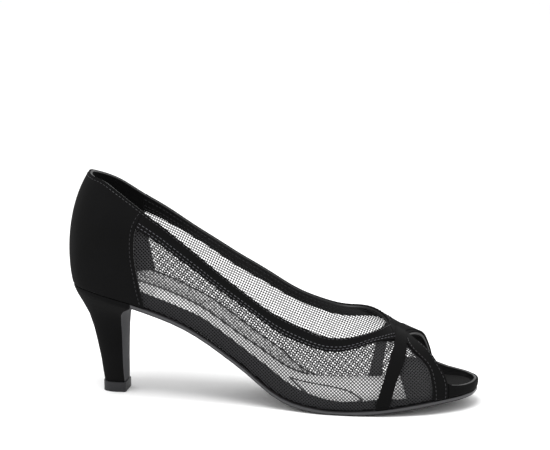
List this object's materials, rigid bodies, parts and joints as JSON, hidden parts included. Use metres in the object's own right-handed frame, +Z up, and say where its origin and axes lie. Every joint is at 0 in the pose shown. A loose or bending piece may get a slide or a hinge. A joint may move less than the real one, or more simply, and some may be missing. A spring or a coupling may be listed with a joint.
{
  "type": "peep toe pump",
  "caption": "Women's peep toe pump with see-through netting sides, suede counter, collar bands, crossed vamp straps and a slim covered heel; stands on forefoot and heel tip.",
  "frame": {"origin": "on the floor under the middle of the shoe's bounding box", "axes": "+X to the toe, +Y to the inner (medial) side, +Z up"},
  "size_m": [0.2396, 0.0726, 0.1313],
  "materials": {
    "netting": "open black nylon netting",
    "suede": "black suede with a short nap",
    "lining": "light grey textile over board",
    "sole": "matte dark grey",
    "heel_cover": "plastic core wrapped in black suede",
    "top_piece": "matte dark grey"
  },
  "bodies": {
    "root": {"upper": "netting", "counter": "suede", "lateral_band": "suede", "medial_band": "suede", "vamp_straps": "suede", "toe_cap": "suede", "insole": "lining", "outsole": "sole", "heel": "heel_cover", "top_piece": "top_piece"}
  },
  "joints": []
}
